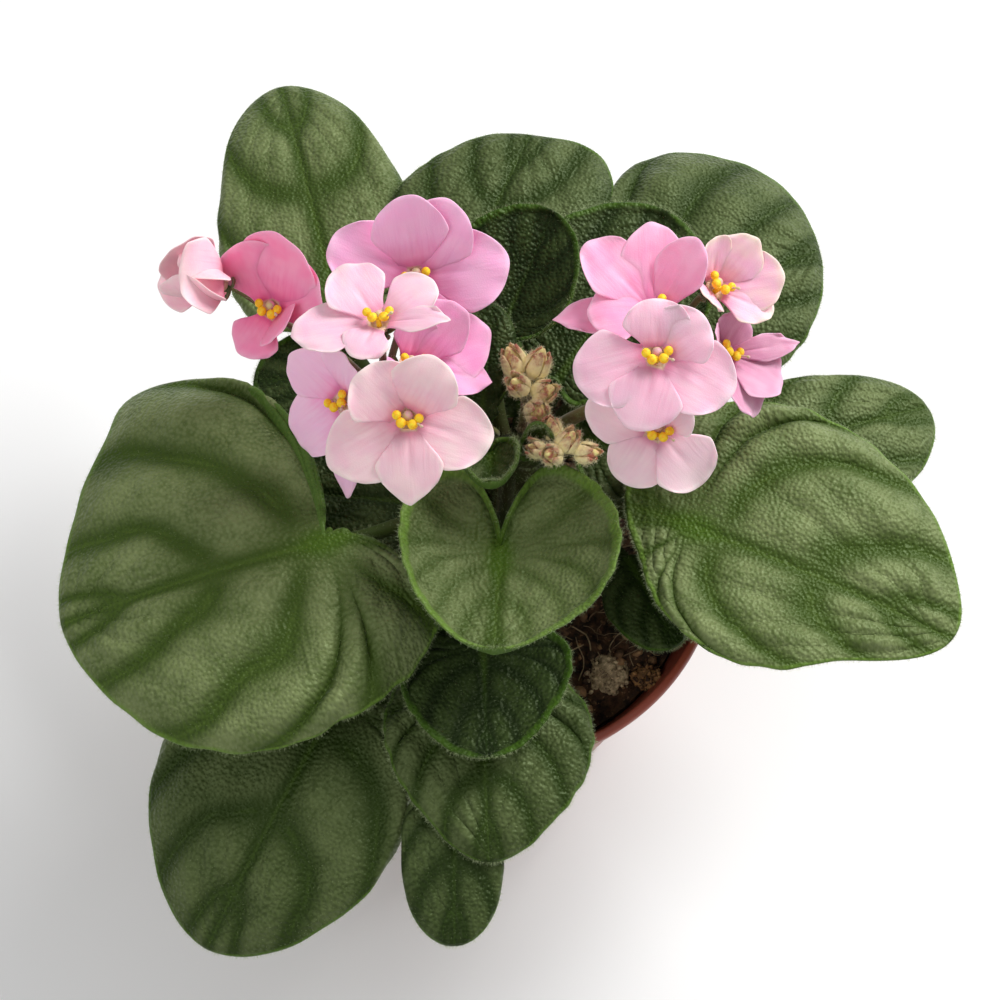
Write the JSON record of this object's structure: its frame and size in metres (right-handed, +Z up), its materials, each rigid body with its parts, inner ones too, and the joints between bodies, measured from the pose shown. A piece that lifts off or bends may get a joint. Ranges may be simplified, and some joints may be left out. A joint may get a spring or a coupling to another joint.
{
  "type": "potted african violet",
  "caption": "Rosette of velvety heart-shaped leaves with clusters of open pink blooms in a small round plastic pot.",
  "frame": {"origin": "middle of the pot's flat underside, on the surface it stands on", "axes": "+Z up along the pot, -Y towards the front of the plant, +X to its right seen from the front"},
  "size_m": [0.2241, 0.2414, 0.1776],
  "materials": {
    "pot": "satin",
    "soil": "rough, crumbly peat",
    "crown": "fleshy, hairy",
    "leaf": "fleshy and velvety",
    "stalk": "fleshy, hairy",
    "petal_pink": "soft, velvety",
    "petal_pale": "soft, velvety",
    "petal_rose": "soft, velvety",
    "anther": "matte, powdery",
    "bud": "hairy"
  },
  "bodies": {
    "root": {"pot": "pot", "soil": "soil", "crown": "crown", "leaf_left": "leaf", "leaf_front_left": "leaf", "leaf_front_low": "leaf", "leaf_front": "leaf", "leaf_front_mid": "leaf", "leaf_heart": "leaf", "leaf_young": "leaf", "leaf_right": "leaf", "leaf_right_low": "leaf", "leaf_right_back": "leaf", "leaf_back_right": "leaf", "leaf_back": "leaf", "leaf_back_inner": "leaf", "leaf_back_mid": "leaf", "leaf_back_left": "leaf", "leaf_left_low": "leaf", "leaf_upright": "leaf", "leaf_right_inner": "leaf", "leaf_left_inner": "leaf", "leaf_back_low": "leaf", "leaf_tiny": "leaf", "flower_stalks_left": "stalk", "flower_stalks_right": "stalk", "bloom_left_1": "petal_pink", "anthers_left_1": "anther", "bloom_left_2": "petal_rose", "anthers_left_2": "anther", "bloom_left_3": "petal_pink", "anthers_left_3": "anther", "bloom_left_4": "petal_pale", "anthers_left_4": "anther", "bloom_left_5": "petal_rose", "anthers_left_5": "anther", "bloom_left_6": "petal_pale", "anthers_left_6": "anther", "bloom_left_7": "petal_pink", "anthers_left_7": "anther", "bloom_right_1": "petal_pink", "anthers_right_1": "anther", "bloom_right_2": "petal_pale", "anthers_right_2": "anther", "bloom_right_3": "petal_pink", "anthers_right_3": "anther", "bloom_right_4": "petal_pink", "anthers_right_4": "anther", "bloom_right_5": "petal_pink", "anthers_right_5": "anther", "bud_stalk_back": "bud", "bud_stalk_right": "bud"}
  },
  "joints": []
}
